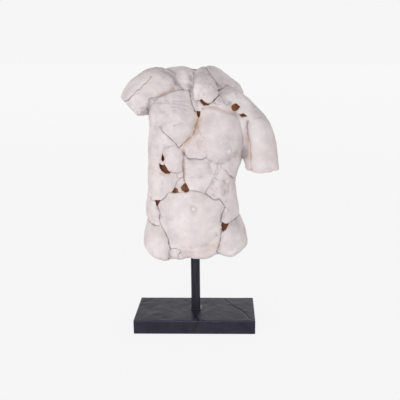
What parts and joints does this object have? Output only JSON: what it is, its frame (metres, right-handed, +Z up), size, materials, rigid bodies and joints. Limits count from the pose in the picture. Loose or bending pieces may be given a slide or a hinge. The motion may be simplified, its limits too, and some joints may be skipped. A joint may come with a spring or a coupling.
{
  "type": "male torso sculpture",
  "caption": "Off-white male torso fragment with broken plates and gaps, held upright by a square black rod in a black slab base.",
  "frame": {"origin": "centre of the base's underside", "axes": "+Z up, -Y the way the chest faces, +X to the right of someone facing the chest"},
  "size_m": [0.3119, 0.1545, 0.5396],
  "materials": {
    "cast_plaster": "matt off-white cast stone with dark gaps",
    "black_rod": "satin black paint",
    "black_base": "worn matt black paint with fine cracks"
  },
  "bodies": {
    "root": {"torso": "cast_plaster", "rod": "black_rod", "base": "black_base"}
  },
  "joints": []
}
